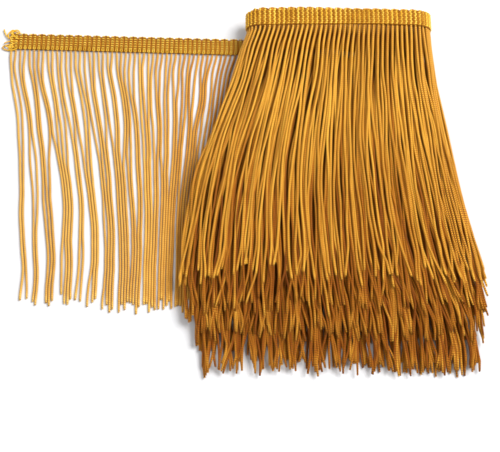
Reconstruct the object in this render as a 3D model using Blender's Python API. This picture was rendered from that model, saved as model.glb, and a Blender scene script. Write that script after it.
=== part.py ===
"""Chainette fringe trim, lying flat on a table.

A braided heading band carries one long knitted cord on each rib. The trim is wound into a flat roll of five
turns, and its outer end is drawn out to the left in one layer. The inner turns have slid forward, so their
cords end in tiers. The heading is one solid. Each turn's cords hang from a narrow strip along its lower edge.

The trim is first laid out in a plain straight roll: x runs along the heading, y up the cords to the heading,
and z up from the table. One field, place(), then fans the cords out and lets them sink towards their ends.
It keeps the order of all layers, so nothing that is apart in the plain roll can meet afterwards.
"""

import math
import random
from collections import namedtuple

import bmesh
import bpy

# All sizes are millimetres, and MM turns them into Blender's metres.
MM = 0.001

# The trim itself
RIB_PITCH = 3.32
BAND_TALL = 13.4
BAND_THICK = 2.4
RIB_RELIEF = 0.45
SCALLOP = 0.8
CORD_LENGTH = 189.0
CORD_WIDE = 2.1
CORD_THICK = 1.5
LENGTH_SPREAD = 4.0
DRAPE_RISE = 6.0
STRIP_TALL = 2.0
STRIP_THICK = 1.7
PIECE_GAP = 0.3

# The roll: flat runs joined by half circles, with its inner turns nested inside
ROLL_CENTRE_X = 62.5
HALF_RUN = 50.0
END_RADIUS = 16.55
LAYER_PITCH = 3.0
TURNS = 5
RUNS_PER_TURN = 4
TAIL_END_X = -174.5
HEADING_LOW_Y = 134.0
GROUND_MID_Z = BAND_THICK / 2
ROLL_MID_Z = GROUND_MID_Z + END_RADIUS

# Finish: base colour and roughness of the braided heading and of the knitted cords
BRAID_COLOUR = (0.62, 0.31, 0.045)
BRAID_ROUGHNESS = 0.55
CORD_COLOUR = (0.66, 0.34, 0.05)
CORD_ROUGHNESS = 0.5
CREASE_ANGLE = math.radians(50)

# Cells along the trim: a single cord where it shows, a lock of a few cords where it is hidden
GROUND_LOCKS = 8
INNER_TOP_LOCKS = 16
INNER_BOTTOM_LOCKS = 10
END_LOCK_WIDE = 7.0
END_LOCKS_MIN = 3
LOCK_GAP = 1.0
WAVE_MM = 2.2
CLUSTER_PULL = 0.75

# How far each stretch of the winding has slid forward, by runs wound
Slide = namedtuple("Slide", "runs forward")
SLIDES = (
    Slide(-2.0, -2.2),
    Slide(-0.25, 3.2),
    Slide(0.2, 1.5),
    Slide(1.0, -8.5),
    Slide(1.6, -10.0),
    Slide(2.3, -8.0),
    Slide(2.7, -8.0),
    Slide(3.3, -10.8),
    Slide(4.4, -9.0),
    Slide(6.3, -9.5),
    Slide(7.3, -13.2),
    Slide(9.0, 8.5),
    Slide(11.3, 9.2),
    Slide(12.8, 25.5),
    Slide(15.3, 26.2),
    Slide(16.8, 48.0),
    Slide(20.0, 49.5),
)

# The field across the roll at each plane of y: its left and right edges, the top of the layer on the table,
# how much of the layers above has sunk away, and how flat those layers are pressed
Plane = namedtuple("Plane", "y left right ground_top sunk slump shoulder")
PLANES = (
    Plane(-108.0, -57.0, 172.0, 0.0, 9.5, 0.43, 0.10),
    Plane(-82.0, -58.0, 177.0, 0.0, 4.4, 0.48, 0.12),
    Plane(-60.0, -55.0, 166.0, 1.75, 0.0, 0.54, 0.15),
    Plane(-20.0, -50.0, 154.0, 1.75, 0.0, 0.60, 0.15),
    Plane(40.0, -39.5, 141.8, 1.75, 0.0, 0.68, 0.15),
    Plane(100.0, -18.0, 133.0, 1.75, 0.0, 0.73, 0.15),
    Plane(128.0, -10.5, 131.0, 2.7, 0.0, 0.75, 0.15),
    Plane(142.0, -5.2, 130.2, 2.7, 0.0, 0.76, 0.15),
)
ROLL_LEFT = -5.2
ROLL_RIGHT = 130.2
GROUND_LIMIT_Z = 2.7
SHOULDER_START = 0.25
SHOULDER_WIDTH = 0.65
ROLL_HALF_WIDE = 68.0
GROUND_JOIN_X = 70.0

# The loose end's cords lean right at its left and left beside the roll
Lean = namedtuple("Lean", "x lean")
LEANS = (
    Lean(-174.5, 18.0),
    Lean(-155.0, 22.0),
    Lean(-118.0, 21.0),
    Lean(-87.0, 11.0),
    Lean(-58.0, -1.0),
    Lean(-36.0, -12.0),
    Lean(-5.2, -26.0),
)
LeanShare = namedtuple("LeanShare", "y share")
LEAN_SHARES = (
    LeanShare(-60.0, 1.0),
    LeanShare(-20.0, 0.95),
    LeanShare(10.0, 0.86),
    LeanShare(40.0, 0.70),
    LeanShare(70.0, 0.48),
    LeanShare(100.0, 0.24),
    LeanShare(118.0, 0.11),
    LeanShare(134.0, 0.0),
)

# The planes of y at which a cord bends
ROLL_STATIONS = (100.0, 40.0, -20.0, -60.0, -82.0)
GROUND_STATIONS = (118.0, 100.0, 70.0, 40.0, 10.0, -20.0)

# A cell is the stretch of heading that one cord, or one lock of cords, hangs from.
Cell = namedtuple("Cell", "start end single")
# Cells that start before this place along the winding lie on the table.
GROUND_END = 0.999


def between(rows, key, value, at):
    """Read one column of a table at a place between its rows."""
    if at <= getattr(rows[0], key):
        return getattr(rows[0], value)
    for low, high in zip(rows, rows[1:]):
        if at <= getattr(high, key):
            share = (at - getattr(low, key)) / (getattr(high, key) - getattr(low, key))
            return getattr(low, value) + share * (getattr(high, value) - getattr(low, value))
    return getattr(rows[-1], value)


def smooth(share):
    share = min(max(share, 0.0), 1.0)
    return share * share * (3 - 2 * share)


def forward(way):
    """How far the heading has slid forward at this place along the winding."""
    return between(SLIDES, "runs", "forward", way)


def end_radius(way):
    """Radius of the winding after so many runs: the first turn closes over the layer on the table."""
    wound = (way - 1) / (RUNS_PER_TURN - 1) if way < RUNS_PER_TURN else way / RUNS_PER_TURN
    return END_RADIUS - LAYER_PITCH * wound


def run_length(way):
    """Length in millimetres of one unit of way: a flat run, or a half circle at the roll's end."""
    if way <= 1 or int(way) % 2 == 0:
        return 2 * HALF_RUN
    return math.pi * end_radius(way)


def centre_line(way):
    """Middle of the band and its outward normal. Below 1 the band lies on the table."""
    if way <= 1:
        return ROLL_CENTRE_X + HALF_RUN * (2 * way - 1), GROUND_MID_Z, (0.0, -1.0)
    run = int(way) % RUNS_PER_TURN
    share = way - int(way)
    radius = end_radius(way)
    if run in (0, 2):
        side = -1 if run == 0 else 1
        return ROLL_CENTRE_X - side * HALF_RUN * (2 * share - 1), ROLL_MID_Z + side * radius, (0.0, side)
    side = 1 if run == 1 else -1
    angle = math.pi * (share - side / 2)
    normal = (math.cos(angle), math.sin(angle))
    x = ROLL_CENTRE_X + side * HALF_RUN + radius * normal[0]
    return x, ROLL_MID_Z + radius * normal[1], normal


def fan_roll(x, y):
    left = between(PLANES, "y", "left", y)
    right = between(PLANES, "y", "right", y)
    return left + (x - ROLL_LEFT) / (ROLL_RIGHT - ROLL_LEFT) * (right - left)


def fan_ground(x, y):
    """The layer on the table leans as the loose end does, and joins the roll's own fan under the roll."""
    lean = between(LEANS, "x", "lean", x) * between(LEAN_SHARES, "y", "share", y)
    if x <= ROLL_LEFT:
        return x + lean
    apart = ROLL_LEFT + lean - fan_roll(ROLL_LEFT, y)
    fade = max(0.0, 1 - (x - ROLL_LEFT) / (GROUND_JOIN_X - ROLL_LEFT))
    return fan_roll(x, y) + apart * fade


def place(way, y, along=0.0, out=0.0):
    """A point of the laid trim, in metres, from its place in the plain straight roll."""
    x, z, normal = centre_line(way)
    x += -normal[1] * along + normal[0] * out
    z += normal[0] * along + normal[1] * out
    ground_top = between(PLANES, "y", "ground_top", y)
    if z <= GROUND_LIMIT_Z:
        height = z * ground_top / GROUND_LIMIT_Z
    else:
        reach = abs(x - ROLL_CENTRE_X) / ROLL_HALF_WIDE
        drop = between(PLANES, "y", "shoulder", y) * smooth((reach - SHOULDER_START) / SHOULDER_WIDTH)
        sunk = between(PLANES, "y", "sunk", y)
        height = ground_top + (z - GROUND_LIMIT_Z - sunk) * between(PLANES, "y", "slump", y) * (1 - drop)
    fanned = fan_ground(x, y) if way <= 1 else fan_roll(x, y)
    return fanned * MM, y * MM, height * MM


def split_run(start, end, count, single):
    """Even cells between two places along the winding."""
    step = (end - start) / count
    return [Cell(start + i * step, start + (i + 1) * step, single) for i in range(count)]


def tail_cells():
    start = (TAIL_END_X - ROLL_CENTRE_X + HALF_RUN) / (2 * HALF_RUN)
    end = (ROLL_LEFT - ROLL_CENTRE_X + HALF_RUN) / (2 * HALF_RUN)
    return split_run(start, end, round((ROLL_LEFT - TAIL_END_X) / RIB_PITCH), True)


def outer_turn_cells():
    """Under the roll in locks, then up, over the top and down the left end cord by cord."""
    cells = split_run(tail_cells()[-1].end, 1, GROUND_LOCKS, False)
    for run in (1, 2, 3):
        cells += split_run(run, run + 1, round(run_length(run + 0.5) / RIB_PITCH), True)
    return cells


def inner_turn_cells(turn):
    cells = []
    for run in range(RUNS_PER_TURN):
        way = turn * RUNS_PER_TURN + run
        if run == 0:
            count = INNER_BOTTOM_LOCKS
        elif run == 2:
            count = INNER_TOP_LOCKS
        else:
            count = max(END_LOCKS_MIN, round(run_length(way + 0.5) / END_LOCK_WIDE))
        cells += split_run(way, way + 1, count, False)
    return cells


def cloth_material(name, colour, roughness):
    material = bpy.data.materials.new(name)
    material.use_nodes = True
    shader = material.node_tree.nodes["Principled BSDF"]
    shader.inputs["Base Color"].default_value = (*colour, 1.0)
    shader.inputs["Roughness"].default_value = roughness
    shader.inputs["Metallic"].default_value = 0.0
    return material


def finish_object(name, bm, colour, roughness):
    bmesh.ops.recalc_face_normals(bm, faces=bm.faces)
    mesh = bpy.data.meshes.new(name)
    bm.to_mesh(mesh)
    bm.free()
    mesh.shade_smooth()
    mesh.set_sharp_from_angle(angle=CREASE_ANGLE)
    mesh.materials.append(cloth_material(name, colour, roughness))
    made = bpy.data.objects.new(name, mesh)
    bpy.context.collection.objects.link(made)
    return made


def bridge(bm, first, second):
    """Four walls between two sections of four corners."""
    for i in range(4):
        j = (i + 1) % 4
        bm.faces.new((first[i], first[j], second[j], second[i]))


def band_section(bm, way, slid, outer, inner, top_drop):
    low = HEADING_LOW_Y - slid
    high = low + BAND_TALL - top_drop
    corners = ((low, outer), (high, outer), (high, -inner), (low, -inner))
    return [bm.verts.new(place(way, y, 0.0, out)) for y, out in corners]


def make_heading(cells):
    """One ribbon through all the turns. Ribs rise on the side that shows, and the top edge is scalloped."""
    bm = bmesh.new()
    half = BAND_THICK / 2
    sections = []
    for number, cell in enumerate(cells):
        on_table = cell.start < GROUND_END
        valley = half - RIB_RELIEF if cell.single else half
        outer, inner = (half, valley) if on_table else (valley, half)
        notch = SCALLOP if cell.single and number % 2 == 0 else 0.0
        sections.append(band_section(bm, cell.start, forward(cell.start), outer, inner, notch))
        if cell.single or int(cell.start) % 2 == 1:
            middle = (cell.start + cell.end) / 2
            slid = (forward(cell.start) + forward(cell.end)) / 2
            sections.append(band_section(bm, middle, slid, half, half, 0.0))
    sections.append(band_section(bm, cells[-1].end, forward(cells[-1].end), half, half, 0.0))
    for first, second in zip(sections, sections[1:]):
        bridge(bm, first, second)
    bm.faces.new(sections[0])
    bm.faces.new(sections[-1])
    return finish_object("heading", bm, BRAID_COLOUR, BRAID_ROUGHNESS)


def cell_width(cell):
    return (cell.end - cell.start) * run_length((cell.start + cell.end) / 2)


def cord_width(cell):
    return CORD_WIDE if cell.single else cell_width(cell) - LOCK_GAP


def cord_places(cells, stations, seed):
    """Where each cord crosses each station, in millimetres along the trim from its own cell's middle.

    Single cords swing and gather in twos and threes, but keep their order and a gap between them.
    """
    rng = random.Random(seed)
    middles = []
    total = 0.0
    for cell in cells:
        middles.append(total + cell_width(cell) / 2)
        total += cell_width(cell)
    gathered = []
    while len(gathered) < len(cells):
        mates = middles[len(gathered):len(gathered) + rng.choice((2, 2, 3))]
        gathered += [sum(mates) / len(mates)] * len(mates)
    crossings = []
    for level in range(len(stations)):
        grow = (level + 1) / len(stations)
        row = []
        for middle, target, cell in zip(middles, gathered, cells):
            swing = WAVE_MM * rng.uniform(-1, 1) + CLUSTER_PULL * (target - middle)
            row.append(middle + grow * swing if cell.single else middle)
        crossings.append(spread(row, [cord_width(cell) for cell in cells], total))
    return [[row[i] - middles[i] for row in crossings] for i in range(len(cells))]


def spread(row, widths, total):
    """Push neighbours apart, first from the left end and then back from the right end."""
    edge = PIECE_GAP
    for i, wide in enumerate(widths):
        row[i] = max(row[i], edge + wide / 2)
        edge = row[i] + wide / 2 + PIECE_GAP
    edge = total - PIECE_GAP
    for i in range(len(row) - 1, -1, -1):
        row[i] = min(row[i], edge - widths[i] / 2)
        edge = row[i] - widths[i] / 2 - PIECE_GAP
    return row


def crossing_at(row, stations, y):
    """Read a cord's crossing between two stations, which run from high y to low y."""
    for i in range(len(stations) - 1):
        if y >= stations[i + 1]:
            share = (stations[i] - y) / (stations[i] - stations[i + 1])
            return row[i] + share * (row[i + 1] - row[i])
    return row[-1]


def make_fringe(name, cells, seed):
    """A narrow strip under the heading's lower edge, with a cord or a lock growing down from each cell."""
    bm = bmesh.new()
    rng = random.Random(seed + 1)
    all_stations = sorted(set(ROLL_STATIONS) | set(GROUND_STATIONS), reverse=True)
    crossings = cord_places(cells, all_stations, seed)
    strip_high = HEADING_LOW_Y - PIECE_GAP
    strip_low = strip_high - STRIP_TALL
    edges = []
    for way in [cell.start for cell in cells] + [cells[-1].end]:
        if way == cells[0].start:
            way += PIECE_GAP / run_length(cells[0].end)
        half = BAND_THICK / 2 if way <= 1 else STRIP_THICK / 2
        slid = forward(way)
        corners = ((strip_low, half), (strip_low, -half), (strip_high, -half), (strip_high, half))
        edges.append([bm.verts.new(place(way, y - slid, 0.0, out)) for y, out in corners])
    bm.faces.new(edges[0])
    bm.faces.new(edges[-1])
    for number, cell in enumerate(cells):
        first, second = edges[number], edges[number + 1]
        for i in (1, 2, 3):
            j = (i + 1) % 4
            bm.faces.new((first[i], first[j], second[j], second[i]))
        on_table = cell.start < GROUND_END
        half = BAND_THICK / 2 if on_table else CORD_THICK / 2
        stations = GROUND_STATIONS if on_table else ROLL_STATIONS
        middle = (cell.start + cell.end) / 2
        side = cord_width(cell) / 2
        root = strip_low - forward(middle)
        lift = centre_line(middle)[1]
        tip = root - CORD_LENGTH + lift / DRAPE_RISE + rng.uniform(-1, 1) * LENGTH_SPREAD
        levels = [y for y in stations if tip < y < root - STRIP_TALL] + [tip]
        last = [first[0], second[0], second[1], first[1]]
        for y in levels:
            way = middle + crossing_at(crossings[number], all_stations, y) / run_length(middle)
            corners = ((-side, half), (side, half), (side, -half), (-side, -half))
            section = [bm.verts.new(place(way, y, along, out)) for along, out in corners]
            bridge(bm, last, section)
            last = section
        bm.faces.new(last)
    return finish_object(name, bm, CORD_COLOUR, CORD_ROUGHNESS)


def main():
    for old in list(bpy.data.objects):
        bpy.data.objects.remove(old)
    rows = [("fringe_tail", tail_cells()), ("fringe_turn_1", outer_turn_cells())]
    for turn in range(1, TURNS):
        rows.append((f"fringe_turn_{turn + 1}", inner_turn_cells(turn)))
    made = [make_heading([cell for _, cells in rows for cell in cells])]
    for seed, (name, cells) in enumerate(rows):
        made.append(make_fringe(name, cells, 10 * seed))
    corners = [vertex.co for item in made for vertex in item.data.vertices]
    middle_x = (min(c.x for c in corners) + max(c.x for c in corners)) / 2
    middle_y = (min(c.y for c in corners) + max(c.y for c in corners)) / 2
    for item in made:
        item.location = (-middle_x, -middle_y, 0.0)


main()
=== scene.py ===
import math
from collections import namedtuple

import bpy
import numpy as np
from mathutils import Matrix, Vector


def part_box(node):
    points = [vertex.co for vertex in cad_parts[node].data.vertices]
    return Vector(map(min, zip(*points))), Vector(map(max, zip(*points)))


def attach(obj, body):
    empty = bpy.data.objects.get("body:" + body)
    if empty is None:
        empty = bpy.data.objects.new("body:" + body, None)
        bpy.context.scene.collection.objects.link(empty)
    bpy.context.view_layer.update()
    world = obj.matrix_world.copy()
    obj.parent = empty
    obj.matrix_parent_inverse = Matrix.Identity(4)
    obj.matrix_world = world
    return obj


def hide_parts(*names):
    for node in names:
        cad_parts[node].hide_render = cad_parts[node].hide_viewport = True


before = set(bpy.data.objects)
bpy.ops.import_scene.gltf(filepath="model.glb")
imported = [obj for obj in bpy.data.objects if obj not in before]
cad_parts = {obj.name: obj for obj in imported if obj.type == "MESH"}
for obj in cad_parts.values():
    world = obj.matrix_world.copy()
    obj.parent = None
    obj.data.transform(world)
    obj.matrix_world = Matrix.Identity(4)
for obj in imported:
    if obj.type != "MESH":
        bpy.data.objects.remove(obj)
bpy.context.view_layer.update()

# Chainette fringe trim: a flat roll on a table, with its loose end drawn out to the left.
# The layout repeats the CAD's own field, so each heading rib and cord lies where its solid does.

# Sizes are in millimetres, as in the CAD, and MM turns them into metres
MM = 0.001

# The trim. A cord from high up in the roll reaches less far, by its height over DRAPE_RISE.
RIB_PITCH = 3.32
BAND_TALL = 13.4
BAND_THICK = 2.4
CORD_LENGTH = 189.0
CORD_RADIUS = 0.95
DRAPE_RISE = 6.0
LAYER_PITCH = 3.0

# The roll, as in the CAD
ROLL_CENTRE_X = 62.5
HALF_RUN = 50.0
END_RADIUS = 16.55
TURNS = 5
RUNS_PER_TURN = 4
TAIL_END_X = -174.5
HEADING_LOW_Y = 134.0
STRIP_DROP = 0.3
GROUND_MID_Z = BAND_THICK / 2
ROLL_MID_Z = GROUND_MID_Z + END_RADIUS

# How far the winding has slid towards the cords' ends, by the place along it in runs
Slide = namedtuple("Slide", "runs forward")
SLIDES = (
    Slide(-2.0, -2.2),
    Slide(-0.25, 3.2),
    Slide(0.2, 1.5),
    Slide(1.0, -8.5),
    Slide(1.6, -10.0),
    Slide(2.3, -8.0),
    Slide(2.7, -8.0),
    Slide(3.3, -10.8),
    Slide(4.4, -9.0),
    Slide(6.3, -9.5),
    Slide(7.3, -13.2),
    Slide(9.0, 8.5),
    Slide(11.3, 9.2),
    Slide(12.8, 25.5),
    Slide(15.3, 26.2),
    Slide(16.8, 48.0),
    Slide(20.0, 49.5),
)

# The roll's outline at a depth y: its edges, the top of the layer on the table, how far it has sunk, what
# is left of its height, and how much of that is lost towards its ends
Plane = namedtuple("Plane", "y left right ground_top sunk slump shoulder")
PLANES = (
    Plane(-108.0, -57.0, 172.0, 0.0, 9.5, 0.43, 0.10),
    Plane(-82.0, -58.0, 177.0, 0.0, 4.4, 0.48, 0.12),
    Plane(-60.0, -55.0, 166.0, 1.75, 0.0, 0.54, 0.15),
    Plane(-20.0, -50.0, 154.0, 1.75, 0.0, 0.60, 0.15),
    Plane(40.0, -39.5, 141.8, 1.75, 0.0, 0.68, 0.15),
    Plane(100.0, -18.0, 133.0, 1.75, 0.0, 0.73, 0.15),
    Plane(128.0, -10.5, 131.0, 2.7, 0.0, 0.75, 0.15),
    Plane(142.0, -5.2, 130.2, 2.7, 0.0, 0.76, 0.15),
)
ROLL_LEFT = -5.2
ROLL_RIGHT = 130.2
GROUND_LIMIT_Z = 2.7
SHOULDER_START = 0.25
SHOULDER_WIDTH = 0.65
ROLL_HALF_WIDE = 68.0
GROUND_JOIN_X = 70.0

# How far the loose cords' ends lie aside from their ribs, and what share of it is reached at a depth y
Lean = namedtuple("Lean", "x lean")
LEANS = (
    Lean(-174.5, 18.0),
    Lean(-155.0, 22.0),
    Lean(-118.0, 21.0),
    Lean(-87.0, 11.0),
    Lean(-58.0, -1.0),
    Lean(-36.0, -12.0),
    Lean(-5.2, -26.0),
)
LeanShare = namedtuple("LeanShare", "y share")
LEAN_SHARES = (
    LeanShare(-60.0, 1.0),
    LeanShare(-20.0, 0.95),
    LeanShare(10.0, 0.86),
    LeanShare(40.0, 0.70),
    LeanShare(70.0, 0.48),
    LeanShare(100.0, 0.24),
    LeanShare(118.0, 0.11),
    LeanShare(134.0, 0.0),
)

# The tables' corners are rounded over up to twice EASE_MOST, and over less towards EASE_FROM_Y
EASE_MOST = 22.0
EASE_FROM_Y = 110.0
EASE_STEPS = (-1.0, -0.6, -0.2, 0.2, 0.6, 1.0)


def column(rows, key, value):
    """A table's column as a function of another of its columns."""
    keys = np.array([getattr(row, key) for row in rows])
    values = np.array([getattr(row, value) for row in rows])
    return lambda at: np.interp(at, keys, values)


def eased(rows, value):
    """A column over y with its corners rounded, but for the heading and the cords' first part."""
    plain = column(rows, "y", value)

    def at_y(y):
        half = np.clip((EASE_FROM_Y - y) / 2, 0.0, EASE_MOST)
        return sum(plain(y + half * step) for step in EASE_STEPS) / len(EASE_STEPS)

    return at_y


forward = column(SLIDES, "runs", "forward")
left_edge = eased(PLANES, "left")
right_edge = eased(PLANES, "right")
ground_top = column(PLANES, "y", "ground_top")
sunk = column(PLANES, "y", "sunk")
slump = eased(PLANES, "slump")
shoulder = eased(PLANES, "shoulder")
tail_lean = column(LEANS, "x", "lean")
lean_share = eased(LEAN_SHARES, "share")


def smooth(share):
    share = np.clip(share, 0.0, 1.0)
    return share * share * (3 - 2 * share)


def grown(value, start, over):
    """0 up to a start, 1 once the value is so much over it, and smooth between."""
    return smooth((value - start) / over)


def end_radius(way):
    """Radius of the winding after so many runs: the first turn closes over the layer on the table."""
    wound = np.where(way < RUNS_PER_TURN, (way - 1) / (RUNS_PER_TURN - 1), way / RUNS_PER_TURN)
    return END_RADIUS - LAYER_PITCH * wound


def run_length(way):
    """Length in millimetres of one unit of way: a flat run, or a half circle at the roll's end."""
    flat = (way <= 1) | (np.floor(way) % 2 == 0)
    return np.where(flat, 2 * HALF_RUN, math.pi * end_radius(way))


def centre_line(way):
    """Middle of the band (x, z) and its outward normal (x, z) for an array of ways."""
    radius = end_radius(way)
    run = np.floor(way).astype(int) % RUNS_PER_TURN
    share = way - np.floor(way)
    ground = way <= 1
    side = np.where((run == 0) | (run == 3), -1.0, 1.0)
    flat = (run % 2 == 0) | ground
    angle = math.pi * (share - side / 2)
    normal_x = np.where(flat, 0.0, np.cos(angle))
    normal_z = np.where(flat, side, np.sin(angle))
    flat_x = ROLL_CENTRE_X - side * HALF_RUN * (2 * share - 1)
    x = np.where(flat, flat_x, ROLL_CENTRE_X + side * HALF_RUN + radius * normal_x)
    z = ROLL_MID_Z + radius * normal_z
    x = np.where(ground, ROLL_CENTRE_X + HALF_RUN * (2 * way - 1), x)
    z = np.where(ground, GROUND_MID_Z, z)
    return x, z, np.where(ground, 0.0, normal_x), np.where(ground, -1.0, normal_z)


def fan_roll(x, y):
    """The roll's cords fan out between its edges."""
    share = (x - ROLL_LEFT) / (ROLL_RIGHT - ROLL_LEFT)
    return left_edge(y) + share * (right_edge(y) - left_edge(y))


def fan_ground(x, y):
    """The layer on the table leans as the loose end does, and joins the roll's fan under the roll."""
    lean = tail_lean(x) * lean_share(y)
    apart = ROLL_LEFT + lean - fan_roll(ROLL_LEFT, y)
    fade = np.clip(1 - (x - ROLL_LEFT) / (GROUND_JOIN_X - ROLL_LEFT), 0.0, None)
    return np.where(x <= ROLL_LEFT, x + lean, fan_roll(x, y) + apart * fade)


def place(way, y, out):
    """Points of the laid trim in metres, from their places in the plain straight roll.

    out is how far they lie outwards from the middle of the band.
    """
    x, z, normal_x, normal_z = centre_line(way)
    x = x + normal_x * out
    z = z + normal_z * out
    drop = shoulder(y) * grown(abs(x - ROLL_CENTRE_X) / ROLL_HALF_WIDE, SHOULDER_START, SHOULDER_WIDTH)
    above = ground_top(y) + (z - GROUND_LIMIT_Z - sunk(y)) * slump(y) * (1 - drop)
    height = np.where(z <= GROUND_LIMIT_Z, z * ground_top(y) / GROUND_LIMIT_Z, above)
    fanned = np.where(way <= 1, fan_ground(x, y), fan_roll(x, y))
    return np.stack([fanned, y + 0 * x, height], -1) * MM + SHIFT


def way_of_ground_x(x):
    return (x - ROLL_CENTRE_X + HALF_RUN) / (2 * HALF_RUN)


# The CAD stands its box on the origin, so its own heading gives the way from the layout to the frame.
SHIFT = np.array([
    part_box("heading")[0].x - TAIL_END_X * MM,
    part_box("fringe_tail")[1].y - (HEADING_LOW_Y - STRIP_DROP - forward(way_of_ground_x(TAIL_END_X))) * MM,
    0.0,
])


def split_run(start, end):
    """Middles of the ribs between two places along the winding."""
    count = int(round(float(run_length(np.array((start + end) / 2))) * (end - start) / RIB_PITCH))
    return start + (np.arange(count) + 0.5) * (end - start) / count


# Millimetres along the heading against places on the winding
WAY_STEP = 0.01
WAY_TABLE = np.arange(-2.4, 20.2, WAY_STEP)
ALONG_TABLE = np.cumsum(run_length(WAY_TABLE)) * WAY_STEP


def along_of(way):
    return np.interp(way, WAY_TABLE, ALONG_TABLE)


def way_of(along):
    return np.interp(along, ALONG_TABLE, WAY_TABLE)


def rib_rows():
    """The ribs of the loose end and of each turn, by CAD node name."""
    join = way_of_ground_x(ROLL_LEFT)
    rows = {"fringe_tail": split_run(way_of_ground_x(TAIL_END_X), join)}
    later_runs = [split_run(run, run + 1) for run in range(1, RUNS_PER_TURN)]
    rows["fringe_turn_1"] = np.concatenate([split_run(join, 1)] + later_runs)
    for turn in range(1, TURNS):
        runs = range(turn * RUNS_PER_TURN, (turn + 1) * RUNS_PER_TURN)
        rows[f"fringe_turn_{turn + 1}"] = np.concatenate([split_run(run, run + 1) for run in runs])
    return rows


# Materials

# The loose cords carry painted light, a paler copy of the cord colour for the light off the table, up to the
# first x, and have the roll's colour from the second
LIT_PALE_UNTIL_X = -105.0
DEEP_FROM_X = 0.0
# Half a column of chevrons as a share of a cord's girth, and the rows it would climb over the whole girth
HALF_COLUMN = 0.25
CHEVRON_CLIMB = 2.2
MOTTLE_SCALE = 160.0
MOTTLE_DETAIL = 3.0
MOTTLE_SHARE = 0.3
BUMP_STRENGTH = 0.8
SHEEN_ROUGHNESS = 0.4
SHEEN_TINT = (1.0, 0.62, 0.16, 1.0)
SPECULAR_LEVEL = 0.5
SPECULAR_TINT = (1.0, 0.66, 0.22, 1.0)
# Colour sockets of a mix node
MIX_FIRST = 6
MIX_SECOND = 7
MIX_RESULT = 2


def colour_ramp(nodes, stops):
    """A ramp node from its stops: each a position and a colour."""
    ramp = nodes.new("ShaderNodeValToRGB")
    elements = ramp.color_ramp.elements
    while len(elements) < len(stops):
        elements.new(0.5)
    for element, (position, colour) in zip(elements, stops):
        element.position = position
        element.color = (*colour, 1.0)
    return ramp


def math_node(nodes, links, operation, first, second=None):
    """The output of a new math node, whose inputs are numbers or the outputs of other nodes."""
    node = nodes.new("ShaderNodeMath")
    node.operation = operation
    for socket, value in zip(node.inputs, (first, second)):
        if isinstance(value, (int, float)):
            socket.default_value = value
        elif value is not None:
            links.new(value, socket)
    return node.outputs[0]


def yarn_material(name, stops, plait_mm, bump_mm, contrast, roughness, sheen, near_stops=None):
    """Satin yarn: fine chevrons along the piece from its UV map, bumped and also painted into the colour as
    shade in their hollows and highlight on their crests, a tint with painted light and shade for each cord,
    and soft mottling.
    """
    material = bpy.data.materials.new(name)
    material.use_nodes = True
    nodes, links = material.node_tree.nodes, material.node_tree.links
    shader = nodes["Principled BSDF"]
    uv = nodes.new("ShaderNodeUVMap")
    uv.uv_map = "yarn"
    parts = nodes.new("ShaderNodeSeparateXYZ")
    links.new(uv.outputs[0], parts.inputs[0])
    # Two columns of chevrons round the cord: distance from the middle of the column bends each row.
    columns = math_node(nodes, links, "PINGPONG", parts.outputs[0], HALF_COLUMN)
    bent = math_node(nodes, links, "MULTIPLY", columns, CHEVRON_CLIMB)
    rows = math_node(nodes, links, "DIVIDE", parts.outputs[1], plait_mm)
    phase = math_node(nodes, links, "ADD", rows, bent)
    turns = math_node(nodes, links, "MULTIPLY", phase, 2 * math.pi)
    wave = math_node(nodes, links, "SINE", turns)
    height = math_node(nodes, links, "MULTIPLY_ADD", wave, 0.5)
    height.node.inputs[2].default_value = 0.5
    tint = nodes.new("ShaderNodeAttribute")
    tint.attribute_name = "tint"
    noise = nodes.new("ShaderNodeTexNoise")
    noise.inputs["Scale"].default_value = MOTTLE_SCALE
    noise.inputs["Detail"].default_value = MOTTLE_DETAIL
    position = nodes.new("ShaderNodeNewGeometry")
    links.new(position.outputs["Position"], noise.inputs["Vector"])
    mottle = math_node(nodes, links, "MULTIPLY", noise.outputs[0], MOTTLE_SHARE)
    # Painted shade and highlight: the plaits' height, scaled by contrast, darkens their hollows and lightens
    # their crests, and the mottling is added to it
    shade = math_node(nodes, links, "MULTIPLY_ADD", height, contrast)
    links.new(mottle, shade.node.inputs[2])
    # Each point's tint, with its painted light and shade, moves it along the ramp
    level = math_node(nodes, links, "ADD", shade, tint.outputs["Fac"])
    ramp = colour_ramp(nodes, stops)
    links.new(level, ramp.inputs[0])
    colour = ramp.outputs[0]
    if near_stops:
        # The painted light on the loose cords gives way to the roll's deeper colour towards the roll.
        near_ramp = colour_ramp(nodes, near_stops)
        links.new(level, near_ramp.inputs[0])
        split = nodes.new("ShaderNodeSeparateXYZ")
        links.new(position.outputs["Position"], split.inputs[0])
        nearness = nodes.new("ShaderNodeMapRange")
        links.new(split.outputs[0], nearness.inputs["Value"])
        for socket, x in (("From Min", LIT_PALE_UNTIL_X), ("From Max", DEEP_FROM_X)):
            nearness.inputs[socket].default_value = x * MM + SHIFT[0]
        blend = nodes.new("ShaderNodeMix")
        blend.data_type = "RGBA"
        links.new(nearness.outputs[0], blend.inputs["Factor"])
        links.new(colour, blend.inputs[MIX_FIRST])
        links.new(near_ramp.outputs[0], blend.inputs[MIX_SECOND])
        colour = blend.outputs[MIX_RESULT]
    links.new(colour, shader.inputs["Base Color"])
    bump = nodes.new("ShaderNodeBump")
    bump.inputs["Strength"].default_value = BUMP_STRENGTH
    bump.inputs["Distance"].default_value = bump_mm * MM
    links.new(height, bump.inputs["Height"])
    links.new(bump.outputs[0], shader.inputs["Normal"])
    shader.inputs["Roughness"].default_value = roughness
    shader.inputs["Sheen Weight"].default_value = sheen
    shader.inputs["Sheen Roughness"].default_value = SHEEN_ROUGHNESS
    shader.inputs["Sheen Tint"].default_value = SHEEN_TINT
    shader.inputs["Specular IOR Level"].default_value = SPECULAR_LEVEL
    shader.inputs["Specular Tint"].default_value = SPECULAR_TINT
    return material
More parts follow.
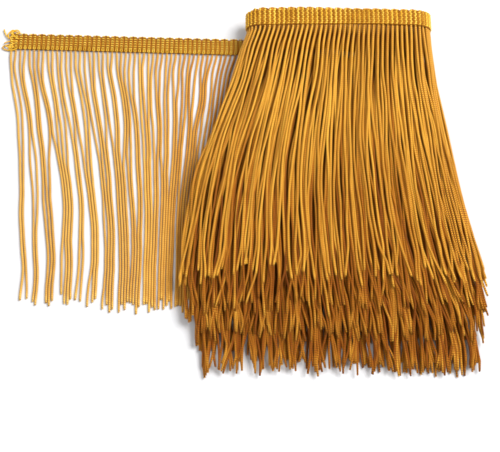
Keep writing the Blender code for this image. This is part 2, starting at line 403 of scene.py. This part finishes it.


# Ramps from the painted shade between the plaits to the painted highlight on their crests; a point's tint
# and painted shade move it along the ramp
CORD_STOPS = ((0.0, (0.12, 0.022, 0.002)), (0.35, (0.38, 0.10, 0.006)), (0.6, (0.66, 0.26, 0.02)),
              (1.0, (0.95, 0.56, 0.075)))
# A paler copy of the cord colours for the loose cords on the table: painted light
LIT_PALE_STOPS = ((0.0, (0.31, 0.115, 0.021)), (0.5, (0.64, 0.325, 0.06)), (1.0, (0.86, 0.57, 0.155)))
BRAID_STOPS = ((0.0, (0.17, 0.045, 0.004)), (0.5, (0.48, 0.195, 0.014)), (1.0, (0.72, 0.36, 0.04)))
STITCH_STOPS = ((0.0, (0.34, 0.13, 0.008)), (0.5, (0.84, 0.48, 0.04)), (1.0, (1.0, 0.78, 0.14)))

cord_material = yarn_material("cord", CORD_STOPS, plait_mm=1.5, bump_mm=0.45, contrast=0.85,
                              roughness=0.42, sheen=0.15)
lit_pale_material = yarn_material("cord_lying_lit", LIT_PALE_STOPS, plait_mm=1.5, bump_mm=0.4, contrast=0.6,
                              roughness=0.5, sheen=0.3, near_stops=CORD_STOPS)
braid_material = yarn_material("braid", BRAID_STOPS, plait_mm=1.1, bump_mm=0.14, contrast=0.5,
                               roughness=0.5, sheen=0.15)
stitch_material = yarn_material("stitch", STITCH_STOPS, plait_mm=0.8, bump_mm=0.08, contrast=0.4,
                                roughness=0.34, sheen=0.2)

# Meshes

# Each tube's plaits start so many millimetres further on than those of the tube before it
PLAIT_STEP = 7.3


def mesh_object(name, points, faces, uv, tint, material):
    """One object from arrays: points (n, 3), faces (m, 4), uv (m, 4, 2) and a tint with painted light and
    shade for each point.
    """
    mesh = bpy.data.meshes.new(name)
    mesh.from_pydata(points.reshape(-1, 3).tolist(), [], faces.tolist())
    layer = mesh.uv_layers.new(name="yarn")
    layer.data.foreach_set("uv", uv.reshape(-1).astype(np.float32))
    attribute = mesh.attributes.new("tint", "FLOAT", "POINT")
    attribute.data.foreach_set("value", tint.reshape(-1).astype(np.float32))
    mesh.materials.append(material)
    mesh.shade_smooth()
    mesh.validate()
    made = bpy.data.objects.new(name, mesh)
    bpy.context.collection.objects.link(made)
    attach(made, "root")
    return made


def tube_faces(rings, sides):
    """Quads of one closed tube: its walls, and each end shut by a fan of quads over its section."""
    ring = np.arange(rings - 1)[:, None] * sides
    side = np.arange(sides)[None, :]
    after = (side + 1) % sides
    above = ring + sides
    walls = np.stack([ring + side, ring + after, above + after, above + side], -1).reshape(-1, 4)
    caps = []
    for base, turn in ((0, -1), ((rings - 1) * sides, 1)):
        for i in range(1, sides - 2, 2):
            caps.append([base, base + i, base + i + 1, base + i + 2][::turn])
    return np.concatenate([walls, np.array(caps)])


def tube_uv(rings, sides, runs):
    """Round the tube from 0 to 1 and along it in millimetres, for n tubes: runs is (n, rings)."""
    ring = np.repeat(np.arange(rings - 1), sides)
    side = np.tile(np.arange(sides), rings - 1)
    u = np.stack([side, side + 1, side + 1, side], -1) / sides
    v = np.stack([runs[:, ring], runs[:, ring], runs[:, ring + 1], runs[:, ring + 1]], -1)
    walls = np.stack([np.broadcast_to(u, v.shape), v], -1)
    per_cap = (sides - 2) // 2
    ends = np.repeat(np.stack([runs[:, 0], runs[:, -1]], 1), per_cap, 1)[:, :, None]
    caps = np.stack([np.zeros(ends.shape[:2] + (4,)), np.broadcast_to(ends, ends.shape[:2] + (4,))], -1)
    return np.concatenate([walls, caps], 1)


def tubes(name, centres, radius, sides, tint, material, flat=1.0):
    """Tubes along many paths, from centres (n, rings, 3) and radius (n, rings) in metres, and tint with
    painted light and shade.
    """
    count, rings = centres.shape[:2]
    tangent = np.gradient(centres, axis=1)
    tangent /= np.linalg.norm(tangent, axis=2, keepdims=True) + 1e-12
    across = np.cross(tangent, (0.0, 0.0, 1.0))
    across /= np.linalg.norm(across, axis=2, keepdims=True) + 1e-12
    above = np.cross(across, tangent)
    angle = 2 * math.pi * np.arange(sides) / sides
    ring = (np.cos(angle)[None, None, :, None] * across[:, :, None]
            + flat * np.sin(angle)[None, None, :, None] * above[:, :, None])
    points = centres[:, :, None] + radius[:, :, None, None] * ring
    faces = tube_faces(rings, sides)
    offsets = np.arange(count)[:, None, None] * rings * sides
    steps = np.linalg.norm(np.diff(centres, axis=1), axis=2) / MM
    start = PLAIT_STEP * np.arange(count)[:, None]
    runs = np.concatenate([start, start + np.cumsum(steps, 1)], 1)
    tint = np.asarray(tint, float)
    tints_and_shading = np.repeat(np.broadcast_to(tint.reshape(count, -1), (count, rings)).ravel(), sides)
    all_faces = (faces[None] + offsets).reshape(-1, 4)
    return mesh_object(name, points, all_faces, tube_uv(rings, sides, runs), tints_and_shading, material)


# Cords

rng = np.random.default_rng(7)

# Cords are kept in order on levels down their length, which reach a little past it
GRID_LEVELS = 64
GRID_PAST_LENGTH = 7.0
DOWN = np.linspace(0, CORD_LENGTH + GRID_PAST_LENGTH, GRID_LEVELS)
# The least share to which the fan may narrow a layer, and the widest gap in rib pitches
NARROWEST = 0.35
WIDEST_GAP = 0.9
# What happens down a cord: where it starts and over how many millimetres it grows
SETTLE = (0.0, 40.0)
UPPER_GROUPS_END = (60.0, 60.0)
LOWER_GROUPS_FORM = (50.0, 80.0)
TIP_CURL = (CORD_LENGTH - 30.0, 30.0)
BOW_OUT = (0.0, 16.0)
BOW_BACK = (16.0, 45.0)
SWELL = (12.0, 50.0)
SINK = (CORD_LENGTH - 25.0, 25.0)
SINK_SHARE = 0.6
# How many neighbours gather, as equally likely sizes of a group
UPPER_SIZES = (1, 2, 2, 3)
LOWER_SIZES = (2, 3, 3, 4)
# The loose end's cords first bow towards its cut end, then fall
ROOT_BOW = 1.6
SWING_LENGTHS = (150.0, 62.0, 27.0)
SWING_SIZES = (1.0, 0.32, 0.07)
# A riding cord climbs over its neighbours and comes down again: least and most start and length, and height
RIDE_START = (15.0, 90.0)
RIDE_LENGTH = (50.0, 110.0)
RIDE_HEIGHT = 3.4
RIPPLE_LENGTH = (9.0, 18.0)
RIPPLE_SHARE = 0.5
# Cords below the roll's middle rise by no more than this share of their wander
UNDER_SHARE = 0.4
# A cord's section is a little flat, and its two ends are drawn in
CORD_FLATNESS = 0.92
END_SHARE = 0.8
# How much one cord's tint differs from the next: in the inner turns it is widened, so that some cords stand
# bright and some dark, as painted light and shade
OUTER_NODES = ("fringe_tail", "fringe_turn_1")
OUTER_TINT_SPREAD = 0.07
INNER_TINT_AND_SHADE_SPREAD = 0.15
# Tint by the share of a cord's length: where painted shade darkens it towards the tip, how dark the painted
# shade at an inner root is, and how bright the painted highlight on a tip
SHADE_FADE = (0.3, 0.4)
ROOT_SHADE = 0.3
ROOT_SHADE_END = (0.0, 0.15)
TIP_HIGHLIGHT = 0.18
TIP_STEPS = 2

# A row for each node: mesh steps, strands on a rib, their radius and the spread of their lengths, how far
# neighbours gather above and below, sideways swing, curl of the tips, wander in depth, how far a layer
# swells up between the cords above it, the share of cords that ride over their neighbours, how firmly
# cords keep their order, tint with painted light and shade (lighter on the loose end on the table, much
# darker for the inner turns, where shade falls under the outer ones), how much painted shade darkens it
# down the cord, and how far the row is set aside in pitches
Drape = namedtuple("Drape", "rings sides strands radius spread upper lower wave curl wander rise riders "
                            "ordered tint fade aside")
DRAPES = {
    "fringe_tail": Drape(64, 8, 1, 0.80, 7.0, 0.36, 0.60, 1.5, 1.6, 0.0, 0.0, 0.0, 1.0, 0.08, 0.0, 0.0),
    "fringe_turn_1": Drape(64, 8, 1, 0.86, 7.0, 0.10, 0.22, 1.1, 1.6, 0.5, 0.3, 0.0, 1.0, 0.04, 0.13, 0.0),
    "fringe_turn_2": Drape(56, 8, 1, 0.84, 8.0, 0.10, 0.22, 1.3, 1.8, 0.8, 2.3, 0.20, 0.9, 0.03, 0.14, 0.5),
    "fringe_turn_3": Drape(38, 6, 3, 0.82, 8.0, 0.10, 0.20, 1.4, 2.0, 0.8, 4.2, 0.06, 0.7, -0.08, 0.38, 0.0),
    "fringe_turn_4": Drape(30, 6, 4, 0.82, 6.0, 0.10, 0.12, 2.4, 1.6, 0.9, 1.6, 0.06, 0.7, -0.49, 0.0, 0.0),
    "fringe_turn_5": Drape(30, 6, 4, 0.82, 5.0, 0.10, 0.12, 2.4, 1.5, 0.7, 0.3, 0.06, 0.7, -0.51, 0.0, 0.0),
}


def spread(row, gap, total):
    """Keep the cords of a layer in order and at least a gap apart, between the ends of the layer."""
    edge = 0.5 * gap[0]
    for i in range(len(row)):
        row[i] = max(row[i], edge)
        edge = row[i] + gap[i]
    edge = total - 0.5 * gap[-1]
    for i in range(len(row) - 1, -1, -1):
        row[i] = min(row[i], edge)
        edge = row[i] - gap[i]
    return row


def groups_of(count, sizes):
    """Neighbours gathered in twos and threes: the middle of the group for each cord, by number."""
    target = []
    while len(target) < count:
        size = min(int(rng.choice(sizes)), count - len(target))
        target += [len(target) + (size - 1) / 2] * size
    return np.array(target)


def soft_waves(count, levels, lengths, sizes):
    """Slow sideways swings down each cord: a few sines with their own lengths and phases."""
    swing = np.zeros((count, len(levels)))
    for length, size in zip(lengths, sizes):
        phase = rng.uniform(0, 2 * math.pi, (count, 1))
        stretch = rng.uniform(0.8, 1.25, (count, 1)) * length
        swing += size * rng.uniform(0.3, 1.0, (count, 1)) * np.sin(2 * math.pi * levels / stretch + phase)
    return swing


def local_scale(ways, y):
    """How much the fan widens the space between neighbours at a place."""
    x = centre_line(ways)[0]
    fan = np.where(ways <= 1, fan_ground(x + 1, y) - fan_ground(x, y), fan_roll(x + 1, y) - fan_roll(x, y))
    return np.abs(fan)


def sideways(ways, root, drape, strand):
    """Where each cord is along the heading on the grid's levels, in order and apart: (n, levels)."""
    count = len(ways)
    at = along_of(ways)
    pitch = np.gradient(at)
    settled = grown(DOWN, *SETTLE)
    upper = settled * (1 - grown(DOWN, *UPPER_GROUPS_END))
    lower = grown(DOWN, *LOWER_GROUPS_FORM)
    first = groups_of(count, UPPER_SIZES) - np.arange(count)
    second = groups_of(count, LOWER_SIZES) - np.arange(count)
    shift = pitch.mean() * (drape.upper * upper * first[:, None] + drape.lower * lower * second[:, None])
    shift = shift + pitch.mean() * settled * (drape.aside + strand / drape.strands)
    shift = shift + settled * drape.wave * soft_waves(count, DOWN, SWING_LENGTHS, SWING_SIZES)
    curl = rng.normal(0, 1, (count, 1)) * grown(DOWN, *TIP_CURL) * drape.curl
    rows = at[:, None] - at[0] + pitch[0] / 2 + shift + curl
    if ways.max() <= 1:
        bow = grown(DOWN, *BOW_OUT) - grown(DOWN, *BOW_BACK)
        rows -= ROOT_BOW * rng.uniform(0.3, 1.2, (count, 1)) * bow
    total = at[-1] - at[0] + pitch[-1]
    for level in range(GRID_LEVELS):
        wide = np.maximum(local_scale(ways, root - DOWN[level]), NARROWEST)
        gap = np.minimum(2 * CORD_RADIUS * drape.ordered / wide, WIDEST_GAP * pitch)
        rows[:, level] = spread(rows[:, level], gap, total)
    return rows + at[0] - pitch[0] / 2


def lifted(fallen, middle_z, drape):
    """How far each cord lies out of its layer at so many millimetres down it: (n, rings)."""
    count = len(fallen)
    rides = rng.uniform(0, 1, (count, 1)) < drape.riders
    ride_start = rng.uniform(*RIDE_START, (count, 1))
    ride_length = rng.uniform(*RIDE_LENGTH, (count, 1))
    riding = rides * np.sin(np.clip((fallen - ride_start) / ride_length, 0, 1) * math.pi)
    swell = drape.rise * (grown(fallen, *SWELL) - grown(fallen, *SINK) * SINK_SHARE)
    drift = grown(fallen, *SETTLE) * rng.uniform(-1, 1, (count, 1))
    ripple = np.sin(fallen / rng.uniform(*RIPPLE_LENGTH, (count, 1)) + rng.uniform(0, 6, (count, 1)))
    out = drape.wander * (drift + RIPPLE_SHARE * ripple) + swell + riding * RIDE_HEIGHT
    over = middle_z[:, None] > ROLL_MID_Z
    return np.where(over, out, np.minimum(out, UNDER_SHARE * drape.wander))


def cord_centres(ways, drape, strand):
    """Centre lines of one row of cords, (n, rings, 3), each from its rib down to its own cut end."""
    root = HEADING_LOW_Y - forward(ways)
    middle_z = centre_line(ways)[1]
    uneven = rng.normal(0, 0.5, len(ways)).clip(-1, 1) * drape.spread
    tip = root - CORD_LENGTH + middle_z / DRAPE_RISE + uneven
    rows = sideways(ways, root, drape, strand)
    y = root[:, None] + (tip - root)[:, None] * np.linspace(0, 1, drape.rings)
    fallen = root[:, None] - y
    along = np.stack([np.interp(cord_fallen, DOWN, row) for cord_fallen, row in zip(fallen, rows)])
    centres = place(way_of(along), y, lifted(fallen, middle_z, drape))
    centres[:, :, 2] = np.maximum(centres[:, :, 2], CORD_RADIUS * MM)
    return centres


def make_cords(name, ways):
    """All the cords of one node, in place of its solid."""
    drape = DRAPES[name]
    inner = name not in OUTER_NODES
    centres = np.concatenate([cord_centres(ways, drape, strand) for strand in range(drape.strands)])
    count = len(centres)
    radius = drape.radius * MM * rng.uniform(0.9, 1.06, (count, 1)) * np.ones((1, drape.rings))
    radius[:, [0, -1]] *= END_SHARE
    share = np.linspace(0, 1, drape.rings)
    variety = INNER_TINT_AND_SHADE_SPREAD if inner else OUTER_TINT_SPREAD
    # A random tone for each cord, the row's tint with its painted light and shade, and painted shade growing
    # down the cord
    tint = drape.tint + rng.normal(0.0, variety, (count, 1)) - drape.fade * grown(share, *SHADE_FADE)
    # Painted shade at the roots of the inner turns, under the layers above them
    if inner:
        tint -= ROOT_SHADE * (1 - grown(share, *ROOT_SHADE_END))
    # Painted highlight on the last rings of each cord's tip
    tint[:, -TIP_STEPS:] += TIP_HIGHLIGHT
    material = lit_pale_material if name == "fringe_tail" else cord_material
    label = name.replace("fringe", "cords")
    made = tubes(label, centres, radius, drape.sides, tint, material, CORD_FLATNESS)
    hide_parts(name)
    return made


ROWS = rib_rows()
fringe = [make_cords(row_name, row_ways) for row_name, row_ways in ROWS.items()]

# Heading. The stitches' own sizes, in millimetres, stand where each stitch is drawn.

HALF_PITCH = RIB_PITCH / 2
BAND_CORE = 1.0
BAND_LOW_MARGIN = 0.4
BAND_MARGINS = 2.0
# Painted shade: the ground is darkened where it shows between the ribs
BAND_SHADE = -0.2
CORE_RADIUS = 0.8
STITCH_ROWS = 8
STITCH_RISE = (BAND_TALL - 1.3) / STITCH_ROWS
CHAIN_ROWS = 6
CHAIN_RISE = (BAND_TALL - 4.0) / (CHAIN_ROWS - 1)
LOOP_RADIUS = 0.32
GROUND_RADIUS = 0.5
GROUND_TINT = 0.05
# Painted shade: the loose end's weft is darkened so that the holes of its rings and the gaps between its
# ribs read dark
LOOSE_WEFT_SHADE = -0.35
FRAYED_RADIUS = 0.5
RIB_TINT_SPREAD = 0.05
TUBE_TINT_SPREAD = 0.08


def ribbon(name, ways):
    """The woven ground that holds the ribs: one thin strip from the cut end to the last turn."""
    half = BAND_CORE / 2
    low = HEADING_LOW_Y - forward(ways) + BAND_LOW_MARGIN
    high = low + BAND_TALL - BAND_MARGINS
    corners = ((low, half), (high, half), (high, -half), (low, -half))
    points = np.stack([place(ways, y, out) for y, out in corners], 1)
    count = len(ways)
    along = np.arange(count)[None, :] * HALF_PITCH
    return mesh_object(name, points, tube_faces(count, 4), tube_uv(count, 4, along)[0],
                       np.full(count * 4, BAND_SHADE), braid_material)


def stamp(name, ways, paths, radius, sides, material, tint):
    """The same small tubes on each rib. paths is (k, rings, 3): along the heading, up it and out of it."""
    k, rings = paths.shape[:2]
    along = along_of(ways)[:, None, None] + paths[None, :, :, 0]
    base = (HEADING_LOW_Y - forward(ways))[:, None, None]
    centres = place(way_of(along), base + paths[None, :, :, 1], paths[None, :, :, 2])
    centres = centres.reshape(-1, rings, 3)
    sizes = np.broadcast_to(radius, (len(ways), k, rings)).reshape(-1, rings) * MM
    centres[:, :, 2] = np.maximum(centres[:, :, 2], sizes)
    tints_and_shading = np.broadcast_to(tint, (len(ways), k, rings)).reshape(-1, rings)
    tints_and_shading = tints_and_shading + np.repeat(rng.normal(0, RIB_TINT_SPREAD, len(ways)), k)[:, None]
    tints_and_shading = tints_and_shading + rng.normal(0, TUBE_TINT_SPREAD, (len(sizes), 1))
    return tubes(name, centres, sizes, sides, tints_and_shading, material)


def serpentine():
    """The weft: it climbs one rib, turns over the top edge and comes down the next."""
    crest = HALF_PITCH * 0.75
    top = BAND_TALL - CORE_RADIUS - crest
    rise = np.linspace(0.6, top, 4)
    turn = np.linspace(0, math.pi, 7)[1:-1]
    up = np.stack([np.full_like(rise, -HALF_PITCH), rise], 1)
    over = np.stack([-HALF_PITCH * np.cos(turn), top + crest * np.sin(turn)], 1)
    down = np.stack([np.full_like(rise, HALF_PITCH), rise[::-1]], 1)
    path = np.concatenate([up, over, down])
    return np.concatenate([path, np.zeros((len(path), 1))], 1)[None]


def chain_loops():
    """The face that shows on the loose end: a column of arched stitches over one open ring, with painted
    highlight on each arch's crown and painted shade at its ends.
    """
    angle = np.linspace(0, 2 * math.pi, 11) + math.pi / 2
    flat = np.full_like(angle, -1.15)
    loops = [np.stack([0.85 * np.cos(angle), 1.0 + 0.85 * np.sin(angle), flat], 1)]
    tints_and_shading = [np.full_like(angle, 0.12)]
    arch = np.linspace(-0.4, math.pi + 0.4, len(angle))
    crown = np.clip(np.sin(arch), 0, 1)
    for number in range(CHAIN_ROWS):
        y = 2.35 + CHAIN_RISE * number + 0.55 * np.sin(arch)
        loops.append(np.stack([0.9 * np.cos(arch), y, -0.55 - 0.75 * crown], 1))
        # Painted highlight on the crown of each arch and painted shade towards its ends
        tints_and_shading.append(1.15 * crown - 0.62)
    return np.array(loops), np.array(tints_and_shading)


def ridge():
    """The other face: a thin ridge of plump stitches up each rib, each stitch with a painted highlight on
    its crown and painted shade in the dip after it.
    """
    rise = np.linspace(0.5, BAND_TALL - 0.7, 4 * STITCH_ROWS + 1)
    bead = np.sin(math.pi * np.arange(len(rise)) / 4) ** 2
    path = np.stack([0.25 * np.sin(math.pi * np.arange(len(rise)) / 4), rise, 0.9 + 0.25 * bead], 1)
    # Painted highlight on each bead and painted shade between them, as tints
    return path[None], (0.28 + 0.62 * bead)[None], (0.8 * bead - 0.4)[None]


def ground_bars():
    """Small slanting stitches of the ground between two ridges."""
    bars = []
    for number in range(STITCH_ROWS):
        y = 0.9 + STITCH_RISE * number
        bars.append([(0.5, y - 0.35, 0.7), (HALF_PITCH, y + 0.25, 0.85), (RIB_PITCH - 0.5, y + 0.75, 0.7)])
    return np.array(bars)


all_ways = np.concatenate(list(ROWS.values()))
between_ribs = (all_ways[1:] + all_ways[:-1]) / 2
# The band starts a little before its first rib
band_start = all_ways[0] - 0.015
band = ribbon("heading_band", np.sort(np.concatenate([all_ways, between_ribs, [band_start]])))
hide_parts("heading")

ridge_path, ridge_radius, ridge_painted_light = ridge()
chain_paths, chain_painted_light = chain_loops()
for row_name, row_ways in ROWS.items():
    label = row_name.replace("fringe", "heading")
    loose = row_name == "fringe_tail"
    pairs = way_of(along_of(row_ways[:len(row_ways) // 2 * 2]).reshape(-1, 2).mean(1))
    # The loose end's weft carries painted shade
    weft_shade = LOOSE_WEFT_SHADE if loose else 0.0
    stamp(label + "_weft", pairs, serpentine(), CORE_RADIUS, 6,
                             braid_material, weft_shade)
    if loose:
        stamp(label + "_loops", row_ways, chain_paths, LOOP_RADIUS, 6,
                                 stitch_material, chain_painted_light)
    if row_name in ("fringe_turn_1", "fringe_turn_2"):
        wound = row_ways[row_ways > 1]
        stamp(label + "_ridges", wound, ridge_path, ridge_radius, 8,
                                 stitch_material, ridge_painted_light)
        stamp(label + "_ground", wound, ground_bars(), GROUND_RADIUS, 6,
                                 braid_material, GROUND_TINT)

# The cut end has come undone: yarn ends curl out of it. Points are x, y and z in the layout's millimetres.
FRAYED = (
    ((-179.4, 152.2, 1.0), (-178.6, 149.4, 1.2), (-177.0, 146.4, 1.4), (-174.4, 144.4, 1.4),
     (-171.0, 144.0, 1.2)),
    ((-175.3, 144.4, 1.8), (-176.2, 147.6, 1.9), (-174.4, 150.3, 1.8), (-171.2, 150.5, 1.6),
     (-168.2, 148.6, 1.4)),
    ((-171.0, 139.6, 1.2), (-177.2, 139.3, 1.4), (-180.0, 137.6, 1.2), (-178.4, 135.8, 1.1),
     (-174.0, 134.6, 1.2), (-170.0, 135.4, 1.4)),
    ((-170.0, 142.2, 1.6), (-175.6, 142.0, 2.0), (-178.4, 140.4, 1.6)),
    ((-173.4, 148.6, 1.4), (-171.4, 151.6, 1.5), (-168.6, 151.3, 1.5), (-167.4, 148.4, 1.4)),
    ((-171.0, 137.4, 1.8), (-175.6, 137.2, 2.0), (-177.6, 138.8, 1.7)),
    ((-169.0, 149.0, 1.9), (-173.0, 151.8, 2.1), (-175.0, 148.6, 2.0), (-170.6, 146.2, 2.4)),
    ((-168.8, 136.0, 2.0), (-173.6, 134.2, 1.8), (-175.4, 137.8, 1.6), (-170.8, 140.4, 2.2)),
    ((-167.6, 143.6, 2.2), (-171.8, 146.2, 2.3), (-175.0, 145.2, 2.1), (-172.6, 142.2, 1.9),
     (-168.6, 141.8, 2.2)),
)


def rounded(points, rings=16):
    """A path of even steps with its corners cut away."""
    path = np.array(points)
    for _ in range(3):
        ahead = path[:-1] * 0.75 + path[1:] * 0.25
        behind = path[:-1] * 0.25 + path[1:] * 0.75
        path = np.concatenate([path[:1], np.stack([ahead, behind], 1).reshape(-1, 3), path[-1:]])
    run = np.concatenate([[0], np.cumsum(np.linalg.norm(np.diff(path, axis=0), axis=1))])
    return np.stack([np.interp(np.linspace(0, run[-1], rings), run, path[:, i]) for i in range(3)], 1)


frayed_paths = np.array([rounded(points) for points in FRAYED]) * MM + SHIFT
frayed_radius = np.full(frayed_paths.shape[:2], FRAYED_RADIUS * MM)
frayed_tint = rng.normal(0, TUBE_TINT_SPREAD, len(FRAYED))
tubes("heading_frayed_end", frayed_paths, frayed_radius, 6, frayed_tint, stitch_material)

# Floor, light and camera, in metres

FLOOR_HALF = 3.0
WORLD_STRENGTH = 0.46
floor_corners = [(x * FLOOR_HALF, y * FLOOR_HALF, 0) for x, y in ((-1, -1), (1, -1), (1, 1), (-1, 1))]
floor_mesh = bpy.data.meshes.new("floor")
floor_mesh.from_pydata(floor_corners, [], [(0, 1, 2, 3)])
floor = bpy.data.objects.new("floor", floor_mesh)
bpy.context.collection.objects.link(floor)
floor_material = bpy.data.materials.new("floor")
floor_material.use_nodes = True
floor_shader = floor_material.node_tree.nodes["Principled BSDF"]
floor_shader.inputs["Base Color"].default_value = (0.66, 0.66, 0.67, 1.0)
floor_shader.inputs["Roughness"].default_value = 0.95
floor_shader.inputs["Specular IOR Level"].default_value = 0.1
floor_mesh.materials.append(floor_material)

world = bpy.data.worlds.new("studio")
world.use_nodes = True
background = world.node_tree.nodes["Background"]
background.inputs["Color"].default_value = (1.0, 1.0, 1.0, 1.0)
background.inputs["Strength"].default_value = WORLD_STRENGTH
bpy.context.scene.world = world


def area_light(name, location, size, power):
    """A round soft lamp aimed at the origin, its size in metres and its power in watts."""
    data = bpy.data.lights.new(name, "AREA")
    data.shape = "DISK"
    data.size = size
    data.energy = power
    lamp = bpy.data.objects.new(name, data)
    lamp.location = location
    lamp.rotation_euler = (-Vector(location)).to_track_quat("-Z", "Y").to_euler()
    bpy.context.collection.objects.link(lamp)


area_light("key", (1.15, 0.45, 1.6), size=1.3, power=60.0)
area_light("fill", (-1.1, -0.3, 1.7), size=1.2, power=11.0)

# The camera looks at the layout's origin from the photo's side, its distance in millimetres
CAMERA_ELEVATION = math.radians(70)
CAMERA_DISTANCE = 778.0
PHOTO_WIDTH = 500
FOCAL_PIXELS = 1136.0
camera_data = bpy.data.cameras.new("camera")
camera_data.lens = camera_data.sensor_width * FOCAL_PIXELS / PHOTO_WIDTH
camera = bpy.data.objects.new("camera", camera_data)
away = Vector((0.0, -math.cos(CAMERA_ELEVATION), math.sin(CAMERA_ELEVATION)))
camera.location = Vector(SHIFT) + away * CAMERA_DISTANCE * MM
camera.rotation_euler = away.to_track_quat("Z", "Y").to_euler()
bpy.context.collection.objects.link(camera)
bpy.context.scene.camera = camera

view = bpy.context.scene.view_settings
view.view_transform = "Standard"
view.look = "None"
view.exposure = 0.0
